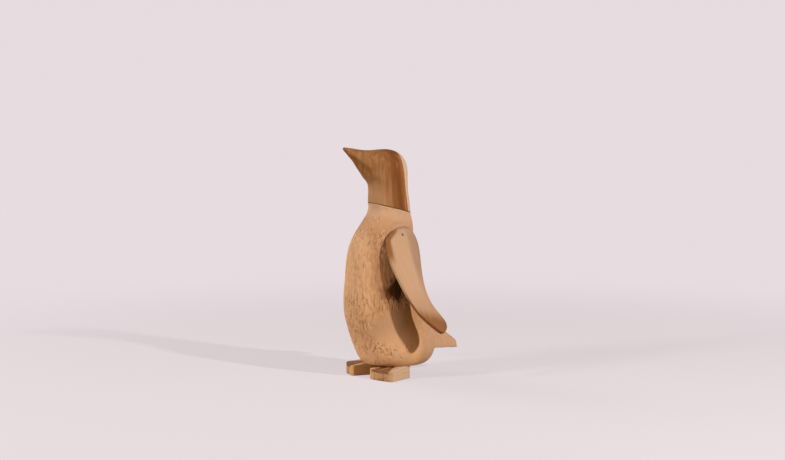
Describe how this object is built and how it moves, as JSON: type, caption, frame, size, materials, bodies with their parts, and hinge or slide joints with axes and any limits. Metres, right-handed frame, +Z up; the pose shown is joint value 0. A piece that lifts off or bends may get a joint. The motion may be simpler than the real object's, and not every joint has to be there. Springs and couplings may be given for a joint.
{
  "type": "penguin figurine",
  "caption": "Carved wooden penguin ornament that stands on separate feet, with a darker head set on at a slanting neck seam, a wedge tail and flippers that turn on nails.",
  "frame": {"origin": "on the floor, under the middle of the figure's plan box", "axes": "+Z up, the bird faces -Y and its left side is +X"},
  "size_m": [0.2012, 0.1634, 0.2958],
  "materials": {
    "body_wood": "pitted root wood, gouged, lightly oiled",
    "head_wood": "sanded and waxed",
    "flipper_wood": "sanded smooth",
    "foot_wood": "carved, waxed",
    "dowel_wood": "turned, bare",
    "nail_steel": "dark, plain",
    "screw_steel": "plain"
  },
  "bodies": {
    "figure": {"body": "body_wood", "head": "head_wood", "neck_dowel": "dowel_wood", "left_flipper_nail": "nail_steel", "right_flipper_nail": "nail_steel", "left_foot": "foot_wood", "right_foot": "foot_wood", "left_foot_screw": "screw_steel", "right_foot_screw": "screw_steel", "left_foot_peg": "dowel_wood", "right_foot_peg": "dowel_wood"},
    "left_flipper_body": {"left_flipper": "flipper_wood"},
    "right_flipper_body": {"right_flipper": "flipper_wood"}
  },
  "joints": [
    {"name": "left_flipper_swing", "type": "hinge", "parent": "figure", "child": "left_flipper_body", "pos_m": [0.03727, -0.02085, 0.18158], "axis": [0.8988, 0, 0.4384], "range_deg": [-75, 80]},
    {"name": "right_flipper_swing", "type": "hinge", "parent": "figure", "child": "right_flipper_body", "pos_m": [-0.03727, -0.02085, 0.18158], "axis": [0.8988, 0, -0.4384], "range_deg": [-75, 80]}
  ]
}
